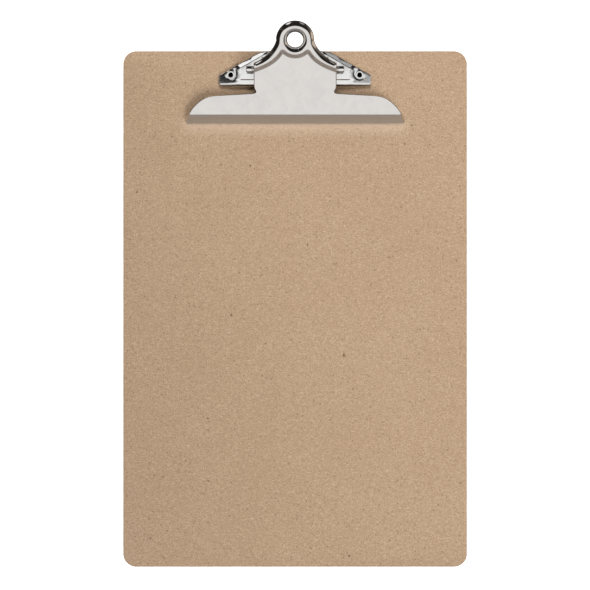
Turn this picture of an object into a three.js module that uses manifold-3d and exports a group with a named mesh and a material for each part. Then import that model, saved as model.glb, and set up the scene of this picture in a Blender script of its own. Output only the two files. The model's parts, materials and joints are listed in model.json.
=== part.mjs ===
// A memo-size hardboard clipboard with a 4-inch spring clip, in millimetres.
// The board lies flat, face up: +X is to its right, +Y towards the clip end, +Z out of its face.
// The origin is the centre of the board's back face.
import * as THREE from "three";
import { mergeVertices } from "three/addons/utils/BufferGeometryUtils.js";
import Module from "manifold-3d";

const wasm = await Module();
wasm.setup();

// ---- Driving dimensions -------------------------------------------------------------------

const BOARD = { width: 152.4, length: 228.6, thickness: 3.2, cornerRadius: 5.8 };
const BOARD_TOP = BOARD.length / 2; // y of the edge at the clip end
const FACE = BOARD.thickness; // z of the face that paper lies on

const SHEET = 0.8; // steel of the base plate and the jaw
const FIT_GAP = 0.1; // running clearance between moving parts, and under the closed lip

// Hinge axis, along X.
const HINGE = { fromEdge: 8.8, height: 7.3 }; // below the board's top edge, above its face
const HINGE_Y = BOARD_TOP - HINGE.fromEdge;
const HINGE_Z = FACE + HINGE.height;
const PIN = { radius: 1.25, headRadius: 1.55, headStart: 18.45, halfLength: 21.6 };

// Jaw: a plate that slopes up from the crease of the lip to the hanging loop.
const JAW = {
  slope: THREE.MathUtils.degToRad(20),
  creaseFromEdge: 28.7, // crease line, below the board's top edge
  creaseHeight: 4.6, // crease line, above the board's face
  lipReach: 3.4, // how far the lip runs forward as it comes down to the board
  lipHalf: 47.1, // half the crease's length
  lipFootHalf: 48.8, // half the length of the lip's foot
  bodyHalf: 18.2,
  notch: 9.9, // along the plate, from the crease to the rear edge of the lip
  shoulder: 23.2, // along the plate, to the foot of the arms
  loopCentre: 33.8,
  loopRadius: 8.4,
  holeRadius: 3.5,
  ridgeHeight: 0.9,
  ridgeWidth: 3.1,
  ringWidth: 3.8,
  rimDepth: 2.0, // turned-down rim of the arms and loop
  collarDepth: 1.4, // turned-down collar of the hole
};

// Base plate: a shallow tray turned upside down, with lowered pads for the rivets.
const BASE = {
  height: 3.4, // its top, above the board's face
  sideHeight: 2.2, // the upright part of its sides
  stripWidth: 1.75, // the sloping strip between its sides and its top
  padHeight: 1.6,
  padStep: 1.2, // horizontal run of the step from the top down to a pad
  padRadius: 3.3,
  frontFromEdge: 15.6,
  frontGap: 1.3, // open height under the front edge
  earX: 15.6, // inner face of an ear
  earRadius: 2.6,
  earFoot: 3.4, // half the width of an ear where it leaves the tray
  windowWidth: 6.2,
};

const RIVET = {
  x: 28.5,
  fromEdge: 10.7,
  shankRadius: 1.6,
  holeRadius: 1.75,
  headRadius: 4.0,
  headHeight: 1.1,
  boreRadius: 1.0,
  boreDepth: 2.6,
  ringRadius: 2.15,
  ringHeight: 0.75,
  dishRadius: 3.0,
};

const RIVET_Y = BOARD_TOP - RIVET.fromEdge;

const SPRING = {
  wire: 1.3,
  meanRadius: 2.25,
  pitch: 1.5,
  outerX: 14.8,
  lowerLeg: 6.0, // rests on the base plate
  upperLeg: 6.4, // pushes up on the jaw
  lowerAngle: THREE.MathUtils.degToRad(-98), // round the pin, where each leg leaves the coil
  upperAngle: THREE.MathUtils.degToRad(114),
  turns: 4, // whole turns, besides the part turn between the legs
};
SPRING.wound = 2 * Math.PI * (SPRING.turns + 1) + SPRING.lowerAngle - SPRING.upperAngle;

// ---- Materials ----------------------------------------------------------------------------

const metal = (color, roughness) =>
  new THREE.MeshStandardMaterial({ color, roughness, metalness: 1 });
const hardboard = new THREE.MeshStandardMaterial({ color: 0xbea388, roughness: 0.85 });
const nickel = metal(0xd6d2ce, 0.22);
const chrome = metal(0xc8c8c6, 0.12);
const springSteel = metal(0x8c8c8a, 0.35);

// ---- Solids -------------------------------------------------------------------------------

// A closed three.js geometry as a manifold-3d solid.
function solidOf(geometry) {
  const bare = geometry.index ? geometry.toNonIndexed() : geometry.clone();
  bare.deleteAttribute("normal");
  bare.deleteAttribute("uv");
  const merged = mergeVertices(bare, 1e-4);
  return new wasm.Manifold(
    new wasm.Mesh({
      numProp: 3,
      vertProperties: merged.attributes.position.array,
      triVerts: new Uint32Array(merged.index.array),
    }),
  );
}

function geometryOf(solid) {
  const made = solid.getMesh();
  const geometry = new THREE.BufferGeometry();
  geometry.setAttribute("position", new THREE.BufferAttribute(made.vertProperties, 3));
  geometry.setIndex(new THREE.BufferAttribute(made.triVerts, 1));
  geometry.computeVertexNormals();
  return geometry;
}

// A shape drawn in X and Y, standing from z = low to z = high.
function slab(shape, low, high, curveSegments = 12) {
  const options = { depth: high - low, bevelEnabled: false, curveSegments };
  return solidOf(new THREE.ExtrudeGeometry(shape, options).translate(0, 0, low));
}

// A solid through a row of flat rings that all have the same number of points. Each ring is
// convex, and runs anticlockwise when seen from the far end of the row.
function loft(rings) {
  const count = rings[0].length;
  const last = (rings.length - 1) * count;
  const index = [];
  for (let ring = 0; ring < last; ring += count)
    for (let k = 0; k < count; k++) {
      const near = ring + k;
      const beside = ring + ((k + 1) % count);
      index.push(near, beside, beside + count, near, beside + count, near + count);
    }
  for (let k = 1; k < count - 1; k++) index.push(0, k + 1, k, last, last + k, last + k + 1);
  return solidOf(new THREE.BufferGeometry().setFromPoints(rings.flat()).setIndex(index));
}

// A profile drawn in Y and Z, standing from x = low to x = high.
function sidePlate(shape, low, high) {
  const options = { depth: high - low, bevelEnabled: false, curveSegments: 16 };
  const turn = new THREE.Matrix4().makeBasis(
    new THREE.Vector3(0, 1, 0),
    new THREE.Vector3(0, 0, 1),
    new THREE.Vector3(1, 0, 0),
  );
  return solidOf(
    new THREE.ExtrudeGeometry(shape, options).applyMatrix4(turn).translate(low, 0, 0),
  );
}

function block(x0, x1, y0, y1, z0, z1) {
  return solidOf(
    new THREE.BoxGeometry(x1 - x0, y1 - y0, z1 - z0).translate(
      (x0 + x1) / 2,
      (y0 + y1) / 2,
      (z0 + z1) / 2,
    ),
  );
}

// A profile of [radius, height] pairs turned about Z; it starts and ends on the axis.
function turned(profile, segments = 28) {
  const points = profile.map(([radius, height]) => new THREE.Vector2(radius, height));
  return new THREE.LatheGeometry(points, segments).rotateX(Math.PI / 2);
}

const disc = (radius, low, high, segments = 28) =>
  solidOf(turned([[0, low], [radius, low], [radius, high], [0, high]], segments));

const cone = (lowRadius, highRadius, low, high) =>
  solidOf(turned([[0, low], [lowRadius, low], [highRadius, high], [0, high]]));

// A rod along X between two faces.
function rod(radius, low, high, y, z, segments = 28) {
  const made = new THREE.CylinderGeometry(radius, radius, high - low, segments)
    .rotateZ(Math.PI / 2)
    .translate((low + high) / 2, y, z);
  return solidOf(made);
}

const mirrored = (solid) => solid.mirror([1, 0, 0]);
const withMirror = (solid) => solid.add(mirrored(solid));

function part(name, geometry, material) {
  const mesh = new THREE.Mesh(geometry, material);
  mesh.name = name;
  return mesh;
}

// ---- Board --------------------------------------------------------------------------------

// The board's outline, anticlockwise from the middle of the edge at the clip end.
function boardOutline(inset, z) {
  const round = BOARD.cornerRadius;
  const steps = 8;
  const points = [new THREE.Vector3(0, BOARD.length / 2 - inset, z)];
  for (let corner = 1; corner <= 4; corner++) {
    const toRight = corner > 2 ? 1 : -1;
    const toClip = corner % 4 < 2 ? 1 : -1;
    for (let step = 0; step <= steps; step++) {
      const angle = ((corner + step / steps) * Math.PI) / 2;
      const x = toRight * (BOARD.width / 2 - round) + (round - inset) * Math.cos(angle);
      const y = toClip * (BOARD.length / 2 - round) + (round - inset) * Math.sin(angle);
      points.push(new THREE.Vector3(x, y, z));
    }
  }
  return points;
}

function board() {
  const eased = 0.25;
  const blank = loft([
    boardOutline(eased, 0),
    boardOutline(0, eased),
    boardOutline(0, FACE - eased),
    boardOutline(eased, FACE),
  ]);
  const hole = disc(RIVET.holeRadius, -1, FACE + 1).translate([RIVET.x, RIVET_Y, 0]);
  return part("board", geometryOf(blank.subtract(withMirror(hole))), hardboard);
}

// ---- Base plate ---------------------------------------------------------------------------

// The tray's outline at the board. Each pair on the right half is x and the distance below
// the board's top edge.
function baseOutline() {
  const right = [
    [25.8, BASE.frontFromEdge],
    [33.7, 15.3],
    [33.7, 10.9],
    [18.5, 2.3],
    [15.5, 0.75],
    [11.5, 0.3],
  ].map(([x, below]) => new THREE.Vector2(x, BOARD_TOP - below));
  return [...right, ...otherSide(right)];
}

// A closed anticlockwise polygon with every side moved inwards by a distance.
function insetLoop(points, distance) {
  const count = points.length;
  return points.map((p, i) => {
    const a = p.clone().sub(points[(i + count - 1) % count]).normalize();
    const b = points[(i + 1) % count].clone().sub(p).normalize();
    const inwards = new THREE.Vector2(-a.y - b.y, a.x + b.x);
    return p.clone().addScaledVector(inwards, distance / (1 + a.dot(b)));
  });
}

// A block with the tray's outline. Each level is a pair: how far the outline is moved inwards,
// and the height there.
function trayBlock(...levels) {
  return loft(
    levels.map(([inset, z]) =>
      insetLoop(baseOutline(), inset).map((p) => new THREE.Vector3(p.x, p.y, z)),
    ),
  );
}

// The space above a pad: round the rivet, and out to the end of the wing.
function padSpace(grow, floor) {
  const top = FACE + BASE.height + 0.5;
  const run = (BASE.padStep * (top - floor)) / (BASE.height - BASE.padHeight);
  const low = BASE.padRadius + grow;
  const round = cone(low, low + run, floor, top).translate([RIVET.x, RIVET_Y, 0]);
  return round.add(block(RIVET.x, RIVET.x + 12, RIVET_Y - 12, RIVET_Y + 12, floor, top));
}

function baseEar() {
  const ear = new THREE.Shape();
  const foot = FACE + BASE.height - SHEET / 2;
  ear.moveTo(HINGE_Y - BASE.earFoot, foot);
  ear.lineTo(HINGE_Y + BASE.earFoot, foot);
  ear.lineTo(HINGE_Y + BASE.earRadius, HINGE_Z);
  ear.absarc(HINGE_Y, HINGE_Z, BASE.earRadius, 0, Math.PI);
  ear.closePath();
  const hole = rod(PIN.radius + FIT_GAP, BASE.earX - 1, BASE.earX + 2, HINGE_Y, HINGE_Z);
  return sidePlate(ear, BASE.earX, BASE.earX + SHEET).subtract(hole);
}

function basePlate() {
  const top = FACE + BASE.height;
  const padTop = FACE + BASE.padHeight;
  const onRivet = (solid) => withMirror(solid.translate([RIVET.x, RIVET_Y, 0]));
  const bend = FACE + BASE.sideHeight;
  const lean = Math.atan2(top - bend, BASE.stripWidth);
  const outside = trayBlock([0, FACE], [0, bend], [BASE.stripWidth, top]).subtract(
    withMirror(padSpace(0, padTop)),
  );
  const inside = trayBlock(
    [SHEET, FACE - 1],
    [SHEET, bend - SHEET * Math.tan(Math.PI / 4 - lean / 2)],
    [BASE.stripWidth + SHEET * Math.tan(lean / 2), top - SHEET],
  ).subtract(withMirror(padSpace(SHEET, padTop - SHEET)));
  const frontY = BOARD_TOP - BASE.frontFromEdge;
  const frontOpening = block(-26, 26, frontY - 1, frontY + 2, FACE - 1, FACE + BASE.frontGap);
  // The dished seat of a rivet goes down to the board.
  const { dishRadius, holeRadius } = RIVET;
  const dish = cone(dishRadius - 0.4, dishRadius + 0.4, FACE, padTop);
  const hollow = cone(dishRadius - 0.8, dishRadius, FACE + SHEET, padTop + 0.01);
  // Each ear is lanced out of the tray, which leaves a window beside it.
  const window = block(
    BASE.earX - BASE.windowWidth,
    BASE.earX,
    HINGE_Y - BASE.earFoot,
    HINGE_Y + BASE.earFoot,
    FACE - 1,
    top + 1,
  );
  const shell = outside
    .subtract(inside)
    .subtract(frontOpening)
    .add(onRivet(dish))
    .subtract(onRivet(hollow))
    .subtract(onRivet(disc(holeRadius, FACE - 1, padTop + 1)))
    .subtract(withMirror(window))
    .add(withMirror(baseEar()));
  return part("base_plate", geometryOf(shell), chrome);
}

// ---- Jaw ----------------------------------------------------------------------------------
// Built in the plate's own frame: X across, Y up the plate from the crease, Z out of its face.

// The arm and the half loop on the right, from the shoulder to the top of the loop.
function armAndLoop(inset = 0, steps = 10) {
  const { bodyHalf, shoulder, loopCentre, loopRadius } = JAW;
  const arm = new THREE.CubicBezierCurve(
    new THREE.Vector2(bodyHalf, shoulder),
    new THREE.Vector2(bodyHalf - 4.7, shoulder + 1.7),
    new THREE.Vector2(loopRadius, loopCentre - 3.4),
    new THREE.Vector2(loopRadius, loopCentre),
  );
  const points = [];
  for (let i = 0; i < steps; i++) {
    const along = arm.getTangent(i / steps);
    const inwards = new THREE.Vector2(-along.y, along.x);
    points.push(arm.getPoint(i / steps).addScaledVector(inwards, inset));
  }
  for (let i = 0; i <= steps; i++) {
    const angle = ((i / steps) * Math.PI) / 2;
    const radius = loopRadius - inset;
    points.push(
      new THREE.Vector2(radius * Math.cos(angle), loopCentre + radius * Math.sin(angle)),
    );
  }
  return points;
}

const otherSide = (points) => points.map((p) => new THREE.Vector2(-p.x, p.y)).reverse();

// The rounded end of the lip on the right, from its rear edge round to the crease.
function lipEnd(steps = 8) {
  return new THREE.CubicBezierCurve(
    new THREE.Vector2(35.5, JAW.notch - 1.2),
    new THREE.Vector2(41.5, JAW.notch - 1.7),
    new THREE.Vector2(45.6, 3.6),
    new THREE.Vector2(JAW.lipHalf, 0),
  ).getPoints(steps);
}

function jawOutline() {
  const relief = [
    new THREE.Vector2(18.8, JAW.notch),
    new THREE.Vector2(17.1, JAW.notch + 0.2),
    new THREE.Vector2(JAW.bodyHalf, JAW.notch + 2.3),
  ];
  const right = [...lipEnd().reverse(), ...relief, ...armAndLoop()];
  return new THREE.Shape([...right, ...otherSide(right).slice(1)]);
}

// A band of one width that follows the arms and the loop.
function rimBand(width, low, high) {
  const outer = armAndLoop();
  const inner = armAndLoop(width);
  const path = [...outer, ...otherSide(outer).slice(1)];
  const back = [...inner, ...otherSide(inner).slice(1)].reverse();
  return slab(new THREE.Shape([...path, ...back]), low, high);
}

// The side flange that carries the hinge pin, as a profile of the plate's Y and Z.
function jawEar(pin) {
  const lobe = 2.7;
  const front = JAW.notch + 2.5;
  const ear = new THREE.Shape();
  ear.moveTo(front, -SHEET / 2);
  ear.lineTo(front, -2.2);
  ear.absarc(pin.y, pin.z, lobe, 1.22 * Math.PI, 1.95 * Math.PI);
  ear.lineTo(JAW.shoulder - 0.1, -2.4);
  ear.lineTo(JAW.shoulder - 0.1, -SHEET / 2);
  ear.closePath();
  const hole = rod(PIN.radius + FIT_GAP, JAW.bodyHalf - 2, JAW.bodyHalf + 1, pin.y, pin.z);
  return sidePlate(ear, JAW.bodyHalf - SHEET, JAW.bodyHalf).subtract(hole);
}

// The lip: a skirt that leaves the plate's edge and comes down to the board. Each station is a
// four-sided section, with its top on the plate's edge and its foot out and down from there.
function lipSkirt() {
  const { slope, lipHalf, lipFootHalf, lipReach, creaseHeight } = JAW;
  const drop = creaseHeight - FIT_GAP;
  const footY = -lipReach * Math.cos(slope) - drop * Math.sin(slope);
  const onBoard = (y) => (-drop - y * Math.sin(slope)) / Math.cos(slope);
  const station = (topX, topY, x, y, z) => ({
    top: new THREE.Vector3(topX, topY, 0),
    foot: new THREE.Vector3(x, y, z),
  });
  const round = lipEnd().map((top, i, all) => {
    const share = (i / (all.length - 1)) ** 2;
    const x = top.x + 0.2 + (lipFootHalf - lipHalf - 0.2) * share;
    const y = top.y + 0.2 - 3.2 * share;
    return station(top.x, top.y, x, y, THREE.MathUtils.lerp(-1, onBoard(y), share));
  });
  const corner = [
    [0.3, lipFootHalf - 0.2, footY + 0.8],
    [0.8, lipFootHalf - 0.9, footY + 0.1],
    [2.0, lipHalf - 1.8, footY],
  ].map(([fromEnd, x, y]) => station(lipHalf - fromEnd, 0, x, y, onBoard(y)));
  const right = [...round, ...corner];
  const flip = (p) => new THREE.Vector3(-p.x, p.y, p.z);
  const left = right.map(({ top, foot }) => ({ top: flip(top), foot: flip(foot) })).reverse();
  const stations = [...right, ...left];
  return loft(
    stations.map(({ top, foot }, i) => {
      const before = stations[Math.max(i - 1, 0)].top;
      const after = stations[Math.min(i + 1, stations.length - 1)].top;
      const down = foot.clone().sub(top);
      const inwards = down.cross(after.clone().sub(before)).setLength(SHEET);
      return [top, top.clone().add(inwards), foot.clone().add(inwards), foot];
    }),
  );
}

function jaw() {
  const { slope, ridgeHeight, holeRadius, loopCentre } = JAW;
  const crease = new THREE.Vector3(
    0,
    BOARD_TOP - JAW.creaseFromEdge,
    FACE + JAW.creaseHeight,
  );
  const pin = new THREE.Vector3(0, HINGE_Y, HINGE_Z)
    .sub(crease)
    .applyAxisAngle(new THREE.Vector3(1, 0, 0), -slope);
  const underLip = block(-60, 60, -20, 20, -20, FIT_GAP - JAW.creaseHeight)
    .rotate([-THREE.MathUtils.radToDeg(slope), 0, 0]);
  const atLoop = (solid) => solid.translate([0, loopCentre, 0]);
  const ringRadius = holeRadius + JAW.ringWidth;
  const sheet = slab(jawOutline(), -SHEET, 0)
    .add(rimBand(JAW.ridgeWidth, -SHEET / 2, ridgeHeight))
    .add(rimBand(SHEET, -JAW.rimDepth, ridgeHeight))
    .add(atLoop(disc(ringRadius, -SHEET / 2, ridgeHeight, 36)))
    .add(atLoop(disc(holeRadius + SHEET, -JAW.collarDepth, 0)))
    .subtract(atLoop(disc(holeRadius, -5, 5)))
    .add(withMirror(jawEar(pin)))
    .add(lipSkirt())
    .subtract(underLip);
  const mesh = part("clip_jaw", geometryOf(sheet), nickel);
  mesh.position.copy(crease);
  mesh.rotation.x = slope;
  return mesh;
}

// ---- Hinge pin ----------------------------------------------------------------------------

function hingePin() {
  const { radius, headRadius, headStart, halfLength } = PIN;
  const edge = 0.4;
  const half = [
    [0, halfLength],
    [headRadius - edge, halfLength],
    [headRadius, halfLength - edge],
    [headRadius, headStart],
    [radius, headStart],
  ];
  const whole = [...half, ...half.map(([r, x]) => [r, -x]).reverse()].reverse();
  const geometry = turned(whole).rotateY(Math.PI / 2).translate(0, HINGE_Y, HINGE_Z);
  return part("hinge_pin", geometry, chrome);
}

// ---- Springs ------------------------------------------------------------------------------

// The centre line of a torsion spring on the hinge pin. It starts at the end of the leg on the
// base plate, winds inwards along X, and ends at the tip of the leg under the jaw.
class SpringPath extends THREE.Curve {
  constructor(side) {
    super();
    this.side = side;
    this.coil = SPRING.wound * SPRING.meanRadius;
    this.whole = SPRING.lowerLeg + this.coil + SPRING.upperLeg;
  }

  getPoint(t, target = new THREE.Vector3()) {
    const { wire, meanRadius, lowerLeg, lowerAngle, wound, outerX, pitch } = SPRING;
    const s = t * this.whole - lowerLeg;
    const onCoil = THREE.MathUtils.clamp(s, 0, this.coil);
    const turn = (onCoil / this.coil) * wound;
    const angle = lowerAngle - turn;
    const x = this.side * (outerX - wire / 2 - (turn / (2 * Math.PI)) * pitch);
    const y = meanRadius * Math.cos(angle) + (s - onCoil) * Math.sin(angle);
    const z = meanRadius * Math.sin(angle) - (s - onCoil) * Math.cos(angle);
    return target.set(x, HINGE_Y + y, HINGE_Z + z);
  }
}

function spring(name, side) {
  const radius = SPRING.wire / 2;
  const section = Array.from({ length: 8 }, (_, i) => (i * Math.PI) / 4).map(
    (angle) => new THREE.Vector2(radius * Math.cos(angle), radius * Math.sin(angle)),
  );
  const options = { steps: 72, extrudePath: new SpringPath(side) };
  const geometry = new THREE.ExtrudeGeometry(new THREE.Shape(section), options);
  return part(name, geometry, springSteel);
}

// ---- Rivets -------------------------------------------------------------------------------

// A semi-tubular rivet: its domed head is under the board, and its hollow end is rolled over
// on the base plate.
function rivet(name, side) {
  const { shankRadius, headRadius, headHeight, boreRadius, boreDepth } = RIVET;
  const seat = FACE + SHEET + 0.02;
  const top = seat + RIVET.ringHeight;
  const profile = [
    [0, -headHeight],
    [headRadius * 0.5, -headHeight * 0.93],
    [headRadius * 0.85, -headHeight * 0.6],
    [headRadius, -0.3],
    [headRadius, -0.02],
    [shankRadius, -0.02],
    [shankRadius, seat],
    [RIVET.ringRadius, seat],
    [RIVET.ringRadius + 0.05, seat + 0.3],
    [1.7, top],
    [1.35, top],
    [boreRadius, top - 0.35],
    [boreRadius, top - boreDepth],
    [0, top - boreDepth - 0.4],
  ];
  const geometry = turned(profile).translate(side * RIVET.x, RIVET_Y, 0);
  return part(name, geometry, chrome);
}

// ---- Assembly -----------------------------------------------------------------------------

const clipboard = new THREE.Group();
clipboard.add(
  board(),
  basePlate(),
  jaw(),
  hingePin(),
  spring("spring_left", -1),
  spring("spring_right", 1),
  rivet("rivet_left", -1),
  rivet("rivet_right", 1),
);

export default clipboard;
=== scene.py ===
"""A memo-size hardboard clipboard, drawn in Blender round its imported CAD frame.

Shapes are worked out in millimetres and become metres when a mesh is made. The frame is the
CAD's: +X to the board's right, +Y towards the clip end, +Z out of the face that paper lies on.
"""
import json
import math

import bmesh
import bpy
import numpy as np
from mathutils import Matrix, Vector, noise
from mathutils.geometry import delaunay_2d_cdt


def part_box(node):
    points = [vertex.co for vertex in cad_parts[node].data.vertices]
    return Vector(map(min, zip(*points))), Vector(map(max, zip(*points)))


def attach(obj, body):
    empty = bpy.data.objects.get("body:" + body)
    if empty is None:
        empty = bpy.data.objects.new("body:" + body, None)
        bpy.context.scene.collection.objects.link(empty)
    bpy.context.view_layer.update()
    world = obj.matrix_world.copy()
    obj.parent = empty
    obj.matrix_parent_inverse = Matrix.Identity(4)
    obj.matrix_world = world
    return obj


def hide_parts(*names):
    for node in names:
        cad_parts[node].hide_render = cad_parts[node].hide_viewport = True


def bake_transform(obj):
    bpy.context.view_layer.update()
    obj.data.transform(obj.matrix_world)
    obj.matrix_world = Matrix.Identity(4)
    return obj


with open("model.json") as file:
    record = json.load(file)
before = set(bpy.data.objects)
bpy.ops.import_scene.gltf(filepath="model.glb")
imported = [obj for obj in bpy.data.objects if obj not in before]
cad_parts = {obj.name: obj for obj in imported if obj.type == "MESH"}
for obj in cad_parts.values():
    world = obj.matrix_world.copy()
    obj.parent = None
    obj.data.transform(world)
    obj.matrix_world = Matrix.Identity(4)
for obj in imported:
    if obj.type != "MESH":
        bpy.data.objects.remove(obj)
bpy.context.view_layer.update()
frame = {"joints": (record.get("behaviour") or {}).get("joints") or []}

# ---- Sizes, in millimetres ----

MM = 0.001


def corners(node):
    """The lowest and highest corner of a CAD node."""
    return [np.array(corner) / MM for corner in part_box(node)]


_, BOARD_HIGH = corners("board")
TOP = BOARD_HIGH[1]  # y of the board's edge at the clip end
FACE = BOARD_HIGH[2]  # z of the face that paper lies on
CORNER_RADIUS = 5.8

PIN_AT = np.array(frame["joints"][0]["pos_m"]) / MM
PIN_RADIUS = 1.25
PIN_HOLE = PIN_RADIUS + 0.1
PIN_HEAD = 1.45
PIN_HEAD_START = 18.45
PIN_END = corners("hinge_pin")[1][0]

RIVET_LOW, RIVET_HIGH = corners("rivet_right")
RIVET_X, RIVET_Y = (RIVET_LOW[:2] + RIVET_HIGH[:2]) / 2
RIVET_HEAD = (RIVET_HIGH[0] - RIVET_LOW[0]) / 2
RIVET_HOLE = 1.7

SHEET = 0.8  # steel of the jaw and of the base plate
GUARD = 0.4  # a flat row of the sheet, just inside each bend
BEND_STEPS = 7

# The jaw, in its plate's own frame: X across, Y up the plate from the crease, Z out of it.
SLOPE = math.radians(20)
CREASE_AT = np.array([0, TOP - 28.7, FACE + 4.6])  # middle of the crease above the lip
LIP_GAP = 0.1  # between the closed lip and the board
CREASE_HALF = 45.0  # half the straight part of the crease
FOOT_Y = -4.73  # the lip's foot
LIP_BEND = 0.7
EDGE_BEND = 0.12  # a plain cut edge
BODY_HALF = 18.2
BODY_FRONT = 12.9
SHOULDER = 23.2
SIDE_BEND = 0.55
SIDE_LOBE = 2.7  # radius of the side flange round the pin
SIDE_FOOT = -2.4  # the side flange's free edge at the shoulder
ARM_BEND = 1.05  # at the shoulder
ARM_FLANGE = 2.1
LOOP_Y = 33.8
LOOP_RADIUS = 8.4
LOOP_BEND = 1.75
HOLE_RADIUS = 3.5
HOLE_BEND = 1.7
HOLE_BEND_MORE = 0.45  # how much wider the bend is at the top of the hole
COLLAR = 1.6
ROLL = 0.15  # roundness of the arms' and the hole's bends
RIDGE = 1.15  # height of the pressed rim
RIDGE_FLAT = 2.75  # from the arms' edge to where the rim starts to fall
RING_FLAT = 5.85  # the same, from the loop's centre
RIDGE_FALL = 2.5
RIDGE_NARROWER = 1.4  # how much less wide it is at the shoulder

# The base plate. Heights are above the board's face.
BASE_TOP = 3.4
BASE_HALF = 33.7
BASE_FRONT = TOP - 15.6
BASE_REAR = TOP - 0.3
FRONT_BEND = 1.3
FRONT_SPLAY = 0.4  # how far the front flange leans out
END_BEND = 0.8  # the narrower bend at the wings' front corners
REAR_BEND = 0.35
STRIP_WIDTH, STRIP_DROP = 2.0, 1.37  # the slope down to the rear edge
STEP_DROP, STEP_WIDTH, STEP_START = 0.5, 0.9, 3.1  # the step down to the front edge
CROWN = 0.008  # drop of the wings, by the square of the distance from their middle line
PAD_TOP = 1.85
LEFT_LEAN, RIGHT_LEAN = 0.21, 0.11  # slopes: the pads aren't quite level
PAD_RADIUS, PAD_WALL = 2.3, 2.6  # a pad's floor, and the slope up from it
SEAT_RADIUS, SEAT_FALL = 2.0, 0.6
EAR_X = 15.6
EAR_RADIUS = 2.6
EAR_FOOT = 3.4
WINDOW = 6.2  # width of the slot that each ear is bent up from

# The springs, as the CAD winds them.
WIRE = 1.3
COIL_RADIUS = 2.25
PITCH = 1.5
COIL_OUTER = 14.8
LOWER_LEG, UPPER_LEG = 6.0, 6.4
LOWER_ANGLE, UPPER_ANGLE = math.radians(-98), math.radians(114)
WOUND = 10 * math.pi + LOWER_ANGLE - UPPER_ANGLE


# ---- Small tools ----


def smooth(value):
    """0 below 0, 1 above 1, and an S between."""
    value = np.clip(value, 0, 1)
    return value * value * (3 - 2 * value)


def unit(vectors):
    """Vectors of the same directions and length 1."""
    length = np.linalg.norm(vectors, axis=-1, keepdims=True)
    return vectors / np.maximum(length, 1e-9)


def line(start, end, count):
    """Evenly spaced points from start, short of end."""
    share = np.arange(count)[:, None] / count
    return np.array(start) + share * (np.array(end) - np.array(start))


def arc(centre, radius, start, end, count):
    """Points on an arc, from one angle in degrees to another, both ends included."""
    angles = np.radians(np.linspace(start, end, count))
    return np.array(centre) + radius * np.stack([np.cos(angles), np.sin(angles)], axis=1)


def bezier(p0, p1, p2, p3, shares):
    t = np.array(shares)[:, None]
    p0, p1, p2, p3 = map(np.array, (p0, p1, p2, p3))
    return (1 - t) ** 3 * p0 + 3 * t * (1 - t) ** 2 * p1 + 3 * t**2 * (1 - t) * p2 + t**3 * p3


def to_segments(points, a, ab):
    """The distance from each point to each of the segments that start at a and run along ab."""
    ap = points[:, None] - a
    share = np.clip((ap * ab).sum(2) / np.maximum((ab * ab).sum(1), 1e-9), 0, 1)
    return np.linalg.norm(ap - share[..., None] * ab, axis=2)


def to_paths(points, paths):
    """The distance from each point to the nearest of some open polylines."""
    gaps = [to_segments(points, path[:-1], np.diff(path, axis=0)).min(1) for path in paths]
    return np.min(gaps, axis=0)


def inside(points, loop):
    """Which points lie inside a closed polygon."""
    x, y = points[:, :1], points[:, 1:2]
    a, b = loop, np.roll(loop, -1, axis=0)
    spans = (a[:, 1] > y) != (b[:, 1] > y)
    rise = np.where(b[:, 1] == a[:, 1], 1e-12, b[:, 1] - a[:, 1])
    crossing = a[:, 0] + (y - a[:, 1]) * (b[:, 0] - a[:, 0]) / rise
    return (spans & (x < crossing)).sum(1) % 2 == 1


def make_piece(name, points, faces, sharp=35):
    """A smooth-shaded mesh from points in millimetres, with doubled points merged. Edges sharper
    than an angle in degrees stay sharp."""
    mesh = bpy.data.meshes.new(name)
    mesh.from_pydata([tuple(p * MM) for p in np.asarray(points, float)], [], faces)
    bm = bmesh.new()
    bm.from_mesh(mesh)
    bmesh.ops.remove_doubles(bm, verts=bm.verts, dist=0.003 * MM)
    bmesh.ops.dissolve_degenerate(bm, edges=bm.edges, dist=0.002 * MM)
    bmesh.ops.recalc_face_normals(bm, faces=bm.faces)
    open_edges = sum(not edge.is_manifold for edge in bm.edges)
    if open_edges:
        print(f"{name}: {open_edges} open edges")
    bm.to_mesh(mesh)
    bm.free()
    piece = bpy.data.objects.new(name, mesh)
    bpy.context.collection.objects.link(piece)
    shade(piece, sharp)
    return piece


def shade(piece, sharp):
    piece.data.shade_smooth()
    piece.data.set_sharp_from_angle(angle=math.radians(sharp))


def combine(piece, tool, operation, sharp=35):
    """Joins a tool piece to a piece, or cuts it out, and deletes the tool."""
    change = piece.modifiers.new("combine", "BOOLEAN")
    change.operation = operation
    change.object = tool
    change.solver = "MANIFOLD"
    bpy.context.view_layer.update()
    graph = bpy.context.evaluated_depsgraph_get()
    mesh = bpy.data.meshes.new_from_object(piece.evaluated_get(graph))
    piece.modifiers.clear()
    piece.data = mesh
    bpy.data.objects.remove(tool)
    shade(piece, sharp)


# ---- Shape builders ----


def bands(rings, count):
    """The faces that join a stack of rings, each of count points."""
    faces = []
    for first in range(0, (rings - 1) * count, count):
        for k in range(count):
            a, b = first + k, first + (k + 1) % count
            faces.append((a, b, b + count, a + count))
    return faces


def lathe(name, profile, segments, place):
    """A profile of [radius, height] pairs turned about Z. place puts its points in the frame."""
    profile = np.array(profile, float)
    turn = np.arange(segments) * 2 * math.pi / segments
    rings = [
        np.stack([r * np.cos(turn), r * np.sin(turn), np.full(segments, z)], axis=1)
        for r, z in profile
    ]
    return make_piece(name, place(np.concatenate(rings)), bands(len(rings), segments))


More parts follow.
